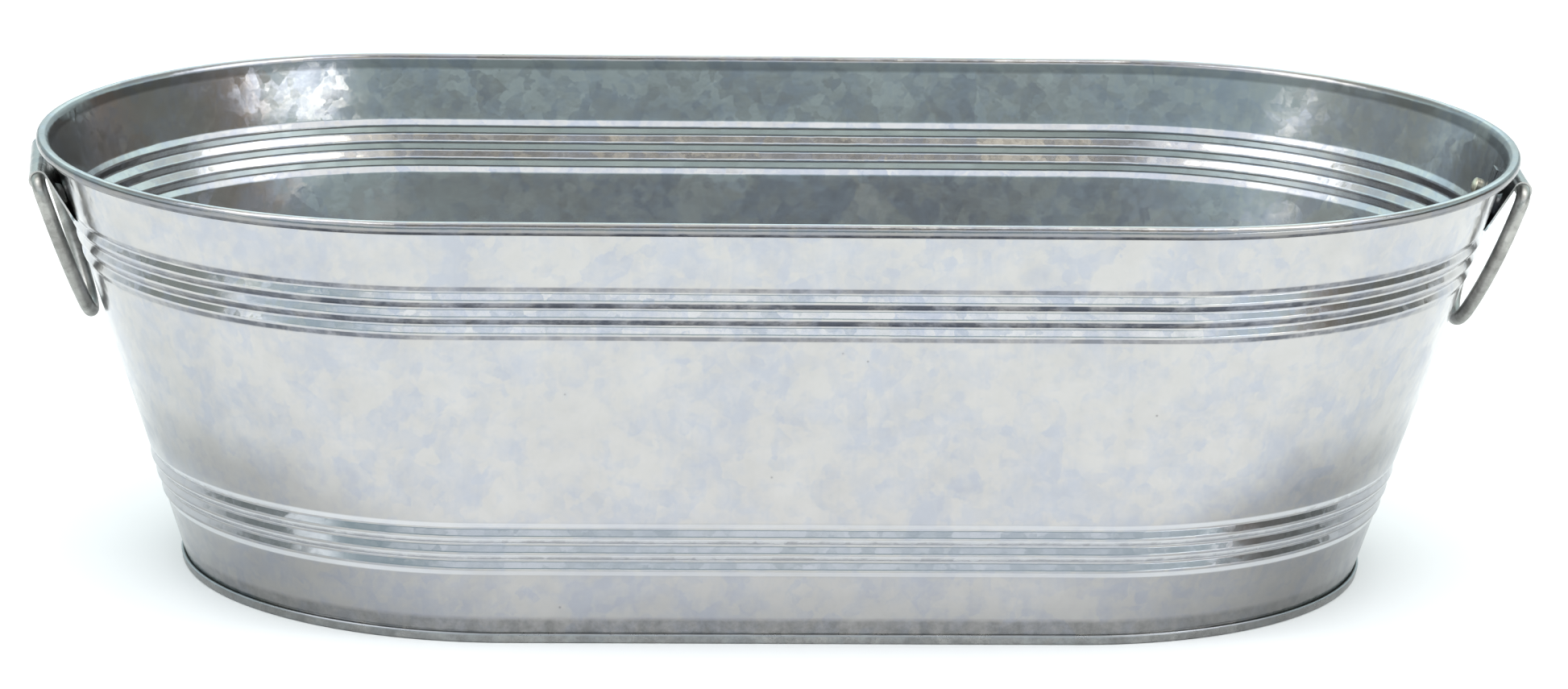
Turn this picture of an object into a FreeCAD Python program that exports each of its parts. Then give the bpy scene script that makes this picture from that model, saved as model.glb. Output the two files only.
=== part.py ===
import FreeCAD, Part
import math
import os

from FreeCAD import Matrix, Placement, Rotation, Vector

# Oval galvanised livestock trough with rolled wired rim, swaged bead groups,
# double seamed raised bottom and two drop handles.  Millimetres, +Z up,
# X along the length, origin on the floor under the middle of the trough.

# ---- overall shape ---------------------------------------------------------
RIM_HALF_LENGTH = 302.1      # to the centre of the rolled rim
RIM_HALF_WIDTH = 150.9       # to the centre of the rolled rim, also the end radius
RIM_CENTRE_Z = 176.2
FOOT_HALF_LENGTH = 242.1     # to the sheet in the bottom seam
FOOT_HALF_WIDTH = 126.85     # also the end radius at the bottom

# ---- sheet and rolled rim --------------------------------------------------
SHEET = 0.5                  # wall and bottom sheet
ROLL_RADIUS = 2.7            # outside of the rolled rim
ROLL_TURN = 300.0            # how far the edge is rolled, degrees
RIM_WIRE = 1.9               # radius of the wire inside the roll

# ---- swaged beads, two groups of three close waves about the plain wall ------
LOWER_GROUP_Z = 38.2         # middle crest of each group
UPPER_GROUP_Z = 138.4
BEADS_IN_GROUP = 3
BEAD_PITCH = 6.95            # in height
BEAD_ANGLE = 30.0            # slope of the flanks from the plain wall
BEAD_RADIUS = 1.6            # crests and valleys
LEAD_ANGLE = 18.0            # gentler slope into and out of a group
LEAD_RADIUS = 3.0

# ---- bottom seam and raised bottom ----------------------------------------
SEAM_GAP = 0.04              # between folded layers
SEAM_TOP = 4.0
HOOK_SHORT = 0.1             # each hook stops this far from the opposite fold
FOOT_BEND = 0.7              # corners of the pressed foot, the flat lies between
HOOK_BEND = 0.4              # corners of the wall hook inside it
BOTTOM_TOP_Z = 8.0           # upper face of the bottom sheet
BOTTOM_BEND = 2.0
LEAN_BEND = 3.0              # where the wall leans out above the seam
LEAN_START_Z = 4.4
LEAN_ROUNDS = 20             # repeats that settle the lean

# ---- lap seams at the two ends, angles about the end centre ----------------
LAP_HALF = 1.6               # half of the overlap
LAP_STEP = 0.2               # where the covered sheet steps inwards
LAP_EDGE_GAP = 0.04
LAP_LAYER_GAP = 0.06
LAP_LOW_Z = 12.0
LAP_HIGH_Z = 168.0

# ---- handles ---------------------------------------------------------------
HANDLE_WIRE = 3.0            # radius
HINGE_X = 303.3
HINGE_Z = 165.5
HANDLE_LEAN = 19.5           # from the vertical, towards the wall
HANDLE_HALF_BAR = 30.5       # straight under the hood, each side of the middle
HANDLE_TOP_BEND = 5.5
HANDLE_SIDE_TURN = 40.0      # of each long side arc
HANDLE_DROP = 64.5           # from the hinge to the bottom of the loop
HANDLE_END_GAP = 0.5         # half the gap between the butted wire ends

# ---- lugs ------------------------------------------------------------------
LUG_SHEET = 0.8
LUG_HALF = 30.0
LUG_CLEARANCE = 0.08         # running fit round the handle wire
LUG_LEAF_ANGLE = 58.0        # of the leaf, from the horizontal
LUG_LOW_Z = 147.6
LUG_DISH = 3.0               # bow of the lower edge, which follows the round wall
LUG_WRAP = 210.0
LUG_CORNER = 6.0             # rounded lower corners of the leaf

# ---- rivets ----------------------------------------------------------------
RIVET_Y = 18.0
RIVET_Z = 156.0
RIVET_SHANK = 2.0
RIVET_HOLE = 2.04
RIVET_HOLE_DEPTH = 4.0       # each way from the outside of the wall
RIVET_HEAD = 3.3
RIVET_INNER_HEIGHT = 2.3
RIVET_OUTER_HEIGHT = 1.3
RIVET_EDGE = 0.45            # straight edge of a head, as a share of its height
RIVET_INNER_GAP = 0.04       # under the inner head
SEAT_GAP = 0.03              # wall to cup, and cup to outer head
CUP_SEAT = 4.4               # pressed cup under each rivet, radius at the wall
CUP_MOUTH = 6.6
CUP_DEPTH = 5.0
CUP_THINNING = 0.8           # wall of the cup, as a share of the lug sheet

# ---- cutters, all larger than what they cut --------------------------------
CUTTER_MARGIN = 20.0
CUTTER_REACH = 400.0

# ---- derived ---------------------------------------------------------------
ROLL_MID = ROLL_RADIUS - SHEET / 2
LAYER = SHEET + SEAM_GAP
FOOT_BEND_Z = SHEET / 2 + FOOT_BEND
HOOK_BEND_Z = SHEET / 2 + LAYER + HOOK_BEND
SEAM_COVER_Z = SEAM_TOP - LAYER - SHEET / 2
RIM_CENTRE_X = RIM_HALF_LENGTH - RIM_HALF_WIDTH
FOOT_CENTRE_X = FOOT_HALF_LENGTH - FOOT_HALF_WIDTH
SHEAR = (RIM_CENTRE_X - FOOT_CENTRE_X) / RIM_CENTRE_Z


class SheetPath:
    """Centre line of a bent sheet or wire, drawn in a plane as lines and arcs."""

    def __init__(self, x, y, heading):
        self.x = x
        self.y = y
        self.heading = heading
        self.steps = []

    def direction(self):
        angle = math.radians(self.heading)
        return math.cos(angle), math.sin(angle)

    def straight(self, length):
        self.steps.append(("line", self.x, self.y, self.heading, length, 0.0))
        dx, dy = self.direction()
        self.x += length * dx
        self.y += length * dy

    def bend(self, turn, radius):
        """Positive turns to the left, negative to the right."""
        self.steps.append(("arc", self.x, self.y, self.heading, turn, radius))
        side = 1.0 if turn > 0 else -1.0
        dx, dy = self.direction()
        cx = self.x - side * radius * dy
        cy = self.y + side * radius * dx
        angle = math.radians(turn)
        rx = self.x - cx
        ry = self.y - cy
        self.x = cx + rx * math.cos(angle) - ry * math.sin(angle)
        self.y = cy + rx * math.sin(angle) + ry * math.cos(angle)
        self.heading += turn

    def rise_to(self, level):
        self.straight((level - self.y) / self.direction()[1])

    def edges(self, offset, place):
        """Edges at a distance to the right of the centre line."""
        result = []
        for kind, x, y, heading, size, radius in self.steps:
            angle = math.radians(heading)
            dx, dy = math.cos(angle), math.sin(angle)
            px = x + offset * dy
            py = y - offset * dx
            if kind == "line":
                end = place(px + size * dx, py + size * dy)
                result.append(Part.LineSegment(place(px, py), end).toShape())
                continue
            side = 1.0 if size > 0 else -1.0
            cx = x - side * radius * dy
            cy = y + side * radius * dx
            points = []
            for share in (0.0, 0.5, 1.0):
                turn = math.radians(size * share)
                rx = px - cx
                ry = py - cy
                points.append(place(cx + rx * math.cos(turn) - ry * math.sin(turn),
                                    cy + rx * math.sin(turn) + ry * math.cos(turn)))
            result.append(Part.Arc(*points).toShape())
        return result


def section(x, y):
    """A point of the radial section, at X outward and Z up."""
    return Vector(x, 0, y)


def face_between(outer, inner):
    """A planar face between two chains of edges that run the same way."""
    starts = (outer[0].firstVertex().Point, inner[0].firstVertex().Point)
    ends = (outer[-1].lastVertex().Point, inner[-1].lastVertex().Point)
    caps = [Part.LineSegment(*starts).toShape(), Part.LineSegment(*ends).toShape()]
    chain = Part.__sortEdges__(list(outer) + list(inner) + caps)
    return Part.Face(Part.Wire(chain))


def sheet_face(path, thickness, place=section):
    return face_between(path.edges(thickness / 2, place), path.edges(-thickness / 2, place))


def wall_lean():
    """Lean of the straight wall so that it meets the rolled rim tangentially."""
    lean = 0.0
    for _ in range(LEAN_ROUNDS):
        turn = math.radians(lean)
        low_x = FOOT_HALF_WIDTH + LEAN_BEND * (1 - math.cos(turn))
        low_z = LEAN_START_Z + LEAN_BEND * math.sin(turn)
        top_x = RIM_HALF_WIDTH - ROLL_MID * math.cos(turn)
        top_z = RIM_CENTRE_Z + ROLL_MID * math.sin(turn)
        lean = math.degrees(math.atan2(top_x - low_x, top_z - low_z))
    return lean


LEAN = wall_lean()


def bead_flank():
    """Length of the straight flank between a valley and a crest."""
    angle = math.radians(BEAD_ANGLE)
    half_length = BEAD_PITCH / 2 / math.cos(math.radians(LEAN))
    return (half_length - 2 * BEAD_RADIUS * math.sin(angle)) / math.cos(angle)


def bead_lead():
    """Straight length of the gentler slope between the plain wall and an end wave."""
    angle = math.radians(BEAD_ANGLE)
    swing = BEAD_RADIUS * (1 - math.cos(angle)) + bead_flank() / 2 * math.sin(angle)
    lead = math.radians(LEAD_ANGLE)
    rounding = (LEAD_RADIUS + BEAD_RADIUS) * (1 - math.cos(lead))
    return (swing - rounding) / math.sin(lead)


def lead_rise():
    """Height from the start of a group to its first crest."""
    lead = math.radians(LEAD_ANGLE)
    length = (LEAD_RADIUS + BEAD_RADIUS) * math.sin(lead) + bead_lead() * math.cos(lead)
    return length * math.cos(math.radians(LEAN))


def add_bead_group(path, middle_z):
    first_crest = middle_z - (BEADS_IN_GROUP - 1) * BEAD_PITCH / 2
    path.rise_to(first_crest - lead_rise())
    path.bend(-LEAD_ANGLE, LEAD_RADIUS)
    path.straight(bead_lead())
    path.bend(LEAD_ANGLE + BEAD_ANGLE, BEAD_RADIUS)
    for _ in range(BEADS_IN_GROUP - 1):
        path.straight(bead_flank())
        path.bend(-2 * BEAD_ANGLE, BEAD_RADIUS)
        path.straight(bead_flank())
        path.bend(2 * BEAD_ANGLE, BEAD_RADIUS)
    path.straight(bead_flank())
    path.bend(-BEAD_ANGLE - LEAD_ANGLE, BEAD_RADIUS)
    path.straight(bead_lead())
    path.bend(LEAD_ANGLE, LEAD_RADIUS)


def add_wall(path, top_z):
    add_bead_group(path, LOWER_GROUP_Z)
    add_bead_group(path, UPPER_GROUP_Z)
    path.rise_to(top_z)


def wall_mid_x(z):
    """Centre line of the plain wall in the radial section."""
    turn = math.radians(LEAN)
    low_x = FOOT_HALF_WIDTH + LEAN_BEND * (1 - math.cos(turn))
    low_z = LEAN_START_Z + LEAN_BEND * math.sin(turn)
    return low_x + (z - low_z) * math.tan(turn)


def add_foot(path, width, radius):
    """Fold back up across a flat foot of the given width between centre lines."""
    path.bend(-90.0, radius)
    path.straight(width - 2 * radius)
    path.bend(-90.0, radius)


def wall_profile():
    """Body hook, wall with its beads, and the edge rolled round the rim wire."""
    hook_top = SEAM_COVER_Z - HOOK_SHORT
    path = SheetPath(FOOT_HALF_WIDTH + 2 * LAYER, hook_top, -90.0)
    path.rise_to(HOOK_BEND_Z)
    add_foot(path, 2 * LAYER, HOOK_BEND)
    path.rise_to(LEAN_START_Z)
    path.bend(-LEAN, LEAN_BEND)
    add_wall(path, RIM_CENTRE_Z + ROLL_MID * math.sin(math.radians(LEAN)))
    path.bend(-ROLL_TURN, ROLL_MID)
    return sheet_face(path, SHEET)


def bottom_profile():
    """Cover hook, seam panel, foot bend, rise inside the wall and raised floor."""
    start = HOOK_BEND_Z + HOOK_SHORT
    path = SheetPath(FOOT_HALF_WIDTH + LAYER, start, 90.0)
    path.straight(SEAM_COVER_Z - start)
    path.bend(-180.0, LAYER)
    path.rise_to(FOOT_BEND_Z)
    add_foot(path, 4 * LAYER, FOOT_BEND)
    path.rise_to(BOTTOM_TOP_Z - SHEET / 2 - BOTTOM_BEND)
    path.bend(90.0, BOTTOM_BEND)
    path.straight(path.x)
    return sheet_face(path, SHEET)


def lap_band(covers_wall):
    """Section of the inner layer of a lap seam, with or without the wall outside it."""
    path = SheetPath(wall_mid_x(LAP_LOW_Z), LAP_LOW_Z, 90.0 - LEAN)
    add_wall(path, LAP_HIGH_Z)
    inset = SHEET + LAP_LAYER_GAP
    outer = SHEET / 2 if covers_wall else SHEET / 2 - inset
    return face_between(path.edges(outer, section), path.edges(-SHEET / 2 - inset, section))


def sector(face, start, end):
    """Revolve a section about Z between two angles from +X, in degrees."""
    centre = Vector(0, 0, 0)
    axis = Vector(0, 0, 1)
    placed = face.copy()
    placed.rotate(centre, axis, start)
    return placed.revolve(centre, axis, end - start)


def lean_ends(shape):
    """Move a round end out to its place and lean its centre line outwards."""
    matrix = Matrix()
    matrix.A13 = SHEAR
    matrix.A14 = FOOT_CENTRE_X
    return shape.transformGeometry(matrix)


def half_turn(shape):
    turned = shape.copy()
    turned.rotate(Vector(0, 0, 0), Vector(0, 0, 1), 180)
    return turned


def side_strip(face, front=True):
    """Straight side between the two leaning end planes."""
    reach = RIM_CENTRE_X + CUTTER_MARGIN
    placed = face.copy()
    placed.rotate(Vector(0, 0, 0), Vector(0, 0, 1), -90 if front else 90)
    placed.translate(Vector(-reach, 0, 0))
    strip = placed.extrude(Vector(2 * reach, 0, 0))
    low = -CUTTER_MARGIN
    high = RIM_CENTRE_Z + CUTTER_MARGIN
    corners = []
    for x_sign, z in ((-1, low), (1, low), (1, high), (-1, high), (-1, low)):
        corners.append(Vector(x_sign * (FOOT_CENTRE_X + SHEAR * z), -CUTTER_REACH, z))
    keeper = Part.Face(Part.makePolygon(corners)).extrude(Vector(0, 2 * CUTTER_REACH, 0))
    return strip.common(keeper)


def fused(pieces):
    shape = pieces[0].multiFuse(pieces[1:])
    solids = shape.Solids
    if len(solids) != 1:
        raise ValueError("expected one solid, got %d" % len(solids))
    return solids[0]


def stadium_ring(face):
    """Carry a section all the way round the oval."""
    end = lean_ends(sector(face, -90, 90))
    return fused([end, half_turn(end), side_strip(face, True), side_strip(face, False)])


def wall_sheet():
    """The front wall sheet: its right edge laps over, its left edge steps in under."""
    wall = wall_profile()
    start = LAP_HALF + LAP_EDGE_GAP
    covered_edge = [
        sector(wall, start, 90),
        sector(lap_band(True), start, start + LAP_STEP),
        sector(lap_band(False), -LAP_HALF, start),
    ]
    right = lean_ends(sector(wall, -90, LAP_HALF))
    left = half_turn(lean_ends(fused(covered_edge)))
    return fused([right, side_strip(wall, True), left])


def rim_wire():
    """Round wire inside the rolled rim, all the way round the oval."""
    start = Vector(RIM_CENTRE_X, -RIM_HALF_WIDTH, RIM_CENTRE_Z)
    circle = Part.Wire(Part.Circle(start, Vector(1, 0, 0), RIM_WIRE).toShape())
    disc = Part.Face(circle)
    side = disc.extrude(Vector(-2 * RIM_CENTRE_X, 0, 0))
    end = disc.revolve(Vector(RIM_CENTRE_X, 0, 0), Vector(0, 0, 1), 180)
    return fused([end, half_turn(end), side, half_turn(side)])


def rivet_frame(side):
    """Point on the outside of the wall at a rivet, and the outward normal."""
    outer = wall_mid_x(RIVET_Z) + SHEET / 2 / math.cos(math.radians(LEAN))
    angle = math.asin(RIVET_Y / outer)
    slope = math.tan(math.radians(LEAN)) + SHEAR * math.cos(angle)
    x = FOOT_CENTRE_X + SHEAR * RIVET_Z + outer * math.cos(angle)
    point = Vector(x, side * RIVET_Y, RIVET_Z)
    normal = Vector(math.cos(angle), side * math.sin(angle), -slope)
    normal.normalize()
    return point, normal


def along(point, normal, distance):
    return point + normal * distance


def rivet_hole(side):
    point, normal = rivet_frame(side)
    low = along(point, normal, -RIVET_HOLE_DEPTH)
    return Part.makeCylinder(RIVET_HOLE, 2 * RIVET_HOLE_DEPTH, low, normal)


def domed_outline(face, height):
    """Half outline of a rivet head from its rim to its crown, on the axis."""
    edge = face + height * RIVET_EDGE
    crown = abs(height) * (1 - RIVET_EDGE)
    ball = (RIVET_HEAD ** 2 + crown ** 2) / (2 * crown)
    up = 1 if height > 0 else -1
    centre = face + height - up * ball
    half_angle = math.asin(RIVET_HEAD / ball) / 2
    middle = section(ball * math.sin(half_angle), centre + up * ball * math.cos(half_angle))
    return [
        Part.LineSegment(section(RIVET_SHANK, face), section(RIVET_HEAD, face)).toShape(),
        Part.LineSegment(section(RIVET_HEAD, face), section(RIVET_HEAD, edge)).toShape(),
        Part.Arc(section(RIVET_HEAD, edge), middle, section(0, face + height)).toShape(),
    ]


def make_rivet(side):
    inner_face = -SHEET - RIVET_INNER_GAP
    outer_face = LUG_SHEET + 2 * SEAT_GAP
    outline = domed_outline(inner_face, -RIVET_INNER_HEIGHT)
    outline += domed_outline(outer_face, RIVET_OUTER_HEIGHT)
    shank = (section(RIVET_SHANK, inner_face), section(RIVET_SHANK, outer_face))
    axis = (section(0, inner_face - RIVET_INNER_HEIGHT),
            section(0, outer_face + RIVET_OUTER_HEIGHT))
    outline.append(Part.LineSegment(*shank).toShape())
    outline.append(Part.LineSegment(*axis).toShape())
    profile = Part.Face(Part.Wire(Part.__sortEdges__(outline)))
    upright = profile.revolve(Vector(0, 0, 0), Vector(0, 0, 1), 360)
    point, normal = rivet_frame(side)
    upright.Placement = Placement(point, Rotation(Vector(0, 0, 1), normal))
    return upright


class Leaf:
    """Plane of the lug's leaf: its top meets the hood that curls over the wire."""

    def __init__(self):
        angle = math.radians(LUG_LEAF_ANGLE)
        self.wrap = HANDLE_WIRE + LUG_CLEARANCE + LUG_SHEET / 2
        self.up = Vector(math.cos(angle), 0, math.sin(angle))
        self.outward = Vector(math.sin(angle), 0, -math.cos(angle))
        self.top = Vector(HINGE_X, 0, HINGE_Z) - self.outward * self.wrap
        length = (self.top.z - LUG_LOW_Z) / math.sin(angle)
        self.low = self.top - self.up * length

    def edge(self, start, offset, dish):
        """Cross edge of the leaf at a distance outward, bowed by the dish."""
        ends = [start + self.outward * offset + Vector(0, side * LUG_HALF, 0)
                for side in (-1, 1)]
        if not dish:
            return Part.LineSegment(*ends).toShape()
        middle = start + self.outward * (offset + dish)
        return Part.Arc(ends[0], middle, ends[1]).toShape()

    def outline(self, start, inner, outer, dish):
        near = self.edge(start, inner, dish)
        far = self.edge(start, outer, dish)
        return face_between([near], [far]).OuterWire

    def body(self, inner, outer):
        """Solid between two distances outward of the leaf's middle surface."""
        wires = [self.outline(self.low, inner, outer, LUG_DISH),
                 self.outline(self.top, inner, outer, 0.0)]
        return Part.makeLoft(wires, True, True)


def hood(leaf):
    path = SheetPath(leaf.top.x, leaf.top.z, LUG_LEAF_ANGLE)
    path.bend(-LUG_WRAP, leaf.wrap)
    face = sheet_face(path, LUG_SHEET)
    face.translate(Vector(0, -LUG_HALF, 0))
    return face.extrude(Vector(0, 2 * LUG_HALF, 0))


def round_corner(body, leaf, side):
    """Round one lower corner of the leaf."""
    inner_v = side * (LUG_HALF - LUG_CORNER)
    outer_v = side * (LUG_HALF + CUTTER_MARGIN)
    start = leaf.low - leaf.outward * LUG_CORNER
    centre = start + leaf.up * LUG_CORNER
    corners = []
    for along_leaf, across in ((-CUTTER_MARGIN, outer_v), (0, outer_v),
                               (0, inner_v), (-CUTTER_MARGIN, inner_v)):
        corners.append(centre + leaf.up * along_leaf + Vector(0, across, 0))
    block = Part.Face(Part.makePolygon(corners + corners[:1]))
    block = block.extrude(leaf.outward * 2 * LUG_CORNER)
    keep = Part.makeCylinder(LUG_CORNER, 2 * LUG_CORNER, centre + Vector(0, inner_v, 0),
                             leaf.outward)
    return body.cut(block.cut(keep))


def press_cup(body, behind, side):
    """Press the leaf down to the wall round one rivet."""
    point, normal = rivet_frame(side)
    seat = along(point, normal, SEAT_GAP)
    inset = LUG_SHEET * CUP_THINNING
    solid = Part.makeCone(CUP_SEAT, CUP_MOUTH, CUP_DEPTH, seat, normal)
    hollow = Part.makeCone(CUP_SEAT - inset, CUP_MOUTH - inset, CUP_DEPTH,
                           along(seat, normal, LUG_SHEET), normal)
    cup = solid.cut(hollow).common(behind)
    return fused([body.cut(solid), cup]).cut(rivet_hole(side))


def make_lug():
    leaf = Leaf()
    body = fused([leaf.body(-LUG_SHEET / 2, LUG_SHEET / 2), hood(leaf)])
    behind = leaf.body(-CUTTER_MARGIN, LUG_SHEET / 2)
    for side in (-1, 1):
        body = round_corner(body, leaf, side)
    for side in (-1, 1):
        body = press_cup(body, behind, side)
    return body


def handle_path():
    """Bar under the hood, then a basket arch: long side arcs and a tight bottom arc."""
    turn = math.radians(HANDLE_SIDE_TURN)
    half_width = HANDLE_HALF_BAR + HANDLE_TOP_BEND
    drop = HANDLE_DROP - HANDLE_TOP_BEND
    spread = (drop - half_width) / (math.sin(turn) + math.cos(turn) - 1)
    bottom_radius = half_width - spread * (1 - math.cos(turn))
    path = SheetPath(HANDLE_END_GAP, 0.0, 0.0)
    path.straight(HANDLE_HALF_BAR - HANDLE_END_GAP)
    path.bend(-90.0, HANDLE_TOP_BEND)
    path.bend(-HANDLE_SIDE_TURN, bottom_radius + spread)
    path.bend(2 * HANDLE_SIDE_TURN - 180.0, bottom_radius)
    path.bend(-HANDLE_SIDE_TURN, bottom_radius + spread)
    path.bend(-90.0, HANDLE_TOP_BEND)
    path.straight(HANDLE_HALF_BAR - HANDLE_END_GAP)
    return path


def make_handle():
    """Round wire loop, its ends butted under the hood of the lug."""
    lean = math.radians(HANDLE_LEAN)

    def place(u, v):
        return Vector(HINGE_X + v * math.sin(lean), u, HINGE_Z + v * math.cos(lean))

    spine = Part.Wire(handle_path().edges(0.0, place))
    start = place(HANDLE_END_GAP, 0.0)
    circle = Part.Wire(Part.Circle(start, Vector(0, 1, 0), HANDLE_WIRE).toShape())
    pipe = spine.makePipeShell([circle], True, True)
    return pipe.Solids[0]


def export(shape, name):
    if not shape.isValid():
        raise ValueError("%s is not a valid solid" % name)
    shape.exportStep("parts/%s.step" % name)


def main():
    os.makedirs("parts", exist_ok=True)
    front = wall_sheet()
    back = half_turn(front)
    hole_front = rivet_hole(-1)
    hole_back = rivet_hole(1)
    front = front.cut(hole_front).cut(half_turn(hole_back))
    back = back.cut(hole_back).cut(half_turn(hole_front))
    export(front, "wall_front")
    export(back, "wall_back")

    export(rim_wire(), "rim_wire")
    export(stadium_ring(bottom_profile()), "bottom_pan")

    lug = make_lug()
    handle = make_handle()
    export(lug, "lug_right")
    export(half_turn(lug), "lug_left")
    export(handle, "handle_right")
    export(half_turn(handle), "handle_left")
    near = make_rivet(-1)
    far = make_rivet(1)
    export(near, "rivet_right_front")
    export(far, "rivet_right_back")
    export(half_turn(far), "rivet_left_front")
    export(half_turn(near), "rivet_left_back")


main()
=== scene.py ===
import math

import bmesh
import bpy
import numpy as np
from mathutils import Matrix, Vector


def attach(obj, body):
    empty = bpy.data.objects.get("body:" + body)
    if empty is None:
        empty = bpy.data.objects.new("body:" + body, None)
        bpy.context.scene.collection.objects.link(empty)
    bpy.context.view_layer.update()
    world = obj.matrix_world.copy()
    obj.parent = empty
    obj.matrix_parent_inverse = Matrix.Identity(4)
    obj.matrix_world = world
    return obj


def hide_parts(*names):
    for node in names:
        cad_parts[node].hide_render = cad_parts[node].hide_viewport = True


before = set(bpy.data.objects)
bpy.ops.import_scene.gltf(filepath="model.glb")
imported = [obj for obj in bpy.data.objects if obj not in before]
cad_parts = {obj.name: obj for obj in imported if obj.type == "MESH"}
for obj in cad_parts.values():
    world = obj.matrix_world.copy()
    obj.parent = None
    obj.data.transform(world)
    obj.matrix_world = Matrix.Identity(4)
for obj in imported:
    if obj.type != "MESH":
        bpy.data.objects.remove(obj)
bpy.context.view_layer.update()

# Lengths are in millimetres and angles in degrees, in the frame of the CAD part,
# except in the materials and on the stage, which are in metres.
MM = 0.001

# ---- overall shape ---------------------------------------------------------
RIM_HALF_LENGTH = 302.1      # to the centre of the rolled rim
RIM_HALF_WIDTH = 150.9       # to the centre of the rolled rim, also the end radius
RIM_CENTRE_Z = 176.2
FOOT_HALF_LENGTH = 242.1     # to the sheet in the bottom seam
FOOT_HALF_WIDTH = 126.85     # also the end radius at the bottom

# ---- sheet and rolled rim --------------------------------------------------
SHEET = 0.5                  # wall and bottom sheet
ROLL_RADIUS = 2.7            # outside of the rolled rim
ROLL_TURN = 300.0            # how far the edge is rolled
RIM_WIRE = 1.9               # radius of the wire inside the roll

# ---- swaged beads, two groups of close waves about the plain wall ----------
LOWER_GROUP_Z = 38.2         # middle crest of each group
UPPER_GROUP_Z = 138.4
BEADS_IN_GROUP = 3
BEAD_PITCH = 6.95            # in height
BEAD_ANGLE = 30.0            # slope of the flanks from the plain wall
BEAD_RADIUS = 1.6            # crests and valleys
LEAD_ANGLE = 18.0            # gentler slope into and out of a group
LEAD_RADIUS = 3.0

# ---- bottom seam and raised bottom -----------------------------------------
SEAM_GAP = 0.04              # between folded layers
SEAM_TOP = 4.0
HOOK_SHORT = 0.1             # each hook stops this far from the opposite fold
FOOT_BEND = 0.7              # corners of the pressed foot, the flat lies between
HOOK_BEND = 0.4              # corners of the wall hook inside it
BOTTOM_TOP_Z = 8.0           # upper face of the bottom sheet
BOTTOM_BEND = 2.0
LEAN_BEND = 3.0              # where the wall leans out above the seam
LEAN_START_Z = 4.4
LEAN_ROUNDS = 20             # repeats that settle the lean

# ---- lap seams at the two ends, angles about the end centre ----------------
LAP_HALF = 1.6               # half of the overlap
LAP_START = 1.64             # where the covered sheet steps in
LAP_INSET = 0.56             # how far in the covered sheet lies
LAP_LOW_Z = 12.0
LAP_HIGH_Z = 168.0
LAP_HIDE = 0.05              # the step's far edge is buried this deep in the sheet
LAP_STEP = ((0.07, 0.75), (0.14, 0.25))   # angles past its start, and share of the inset
LAP_BURIED = (0.20, 0.30)    # angles past the start where it is inside the other sheet

# ---- handles ---------------------------------------------------------------
HANDLE_WIRE = 3.0            # radius
HINGE_X = 303.3
HINGE_Z = 165.5
HANDLE_LEAN = 19.5           # from the vertical, towards the wall
HANDLE_HALF_BAR = 30.5       # straight under the hood, each side of the middle
HANDLE_TOP_BEND = 5.5
HANDLE_SIDE_TURN = 40.0      # of each long side arc
HANDLE_DROP = 64.5           # from the hinge to the bottom of the loop
HANDLE_END_GAP = 0.5         # half the gap between the butted wire ends

# ---- lugs ------------------------------------------------------------------
LUG_SHEET = 0.8
LUG_HALF = 30.0
LUG_CLEARANCE = 0.08         # running fit round the handle wire
LUG_LEAF_ANGLE = 58.0        # of the leaf, from the horizontal
LUG_LOW_Z = 147.6
LUG_DISH = 3.0               # bow of the leaf's low edge, which follows the round wall
LUG_WRAP = 210.0
LUG_CORNER = 6.0             # rounded lower corners of the leaf

# ---- rivets ----------------------------------------------------------------
RIVET_Y = 18.0
RIVET_Z = 156.0
RIVET_SHANK = 2.0
RIVET_HEAD = 3.3
RIVET_INNER_HEIGHT = 2.3
RIVET_OUTER_HEIGHT = 1.3
RIVET_EDGE = 0.45            # straight edge of a head, as a share of its height
RIVET_INNER_GAP = 0.04       # under the inner head
SEAT_GAP = 0.03              # wall to cup, and cup to outer head
CUP_SEAT = 4.4               # pressed cup under each rivet, radius at the wall
CUP_MOUTH = 6.6
CUP_SOFTEN = 0.2             # how far the blend runs past the seat and the mouth

# ---- meshing ---------------------------------------------------------------
PITCH = 4.0                  # longest step along a straight run
SHORT_RUN = 1.0              # along the short runs of the seam
BOTTOM_RUN = 6.0             # across the bottom
HANDLE_RUN = 2.0             # along the hinge bar
LEAF_RUN = 0.4               # up a lug's leaf, fine enough for its cups
HOOK_STEP = 15.0             # largest turn of one facet in the seam
BOTTOM_STEP = 10.0
LEAN_STEP = 2.0
ROLL_STEP = 8.0
CREST_STEP = 6.0
LEAD_STEP = 4.5
HANDLE_CORNER_STEP = 5.0
HANDLE_SIDE_STEP = 1.5
HANDLE_LOW_STEP = 3.0
HOOD_STEP = 6.0
LEAF_COLUMNS = 121           # points across a lug
LAP_COLUMNS = 7              # points across the covered part of a lap
CORE_SIDES = 20              # round the rim wire
CORE_END_STEP = 3.0
CORE_SIDE_COUNT = 30
HANDLE_SIDES = 28            # round the handle wire
RIVET_SIDES = 40
DOME_ROWS = 9                # from the crown of a rivet head to its edge
SHARP_EDGE = 40.0            # edges that turn more than this stay crisp
WELD = 0.002                 # points closer than this are joined

# ---- derived ---------------------------------------------------------------
ROLL_MID = ROLL_RADIUS - SHEET / 2
LAYER = SHEET + SEAM_GAP
FOOT_BEND_Z = SHEET / 2 + FOOT_BEND
HOOK_BEND_Z = SHEET / 2 + LAYER + HOOK_BEND
SEAM_COVER_Z = SEAM_TOP - LAYER - SHEET / 2
RIM_CENTRE_X = RIM_HALF_LENGTH - RIM_HALF_WIDTH
FOOT_CENTRE_X = FOOT_HALF_LENGTH - FOOT_HALF_WIDTH
SHEAR = (RIM_CENTRE_X - FOOT_CENTRE_X) / RIM_CENTRE_Z


def rad(degrees):
    return math.radians(degrees)


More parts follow.
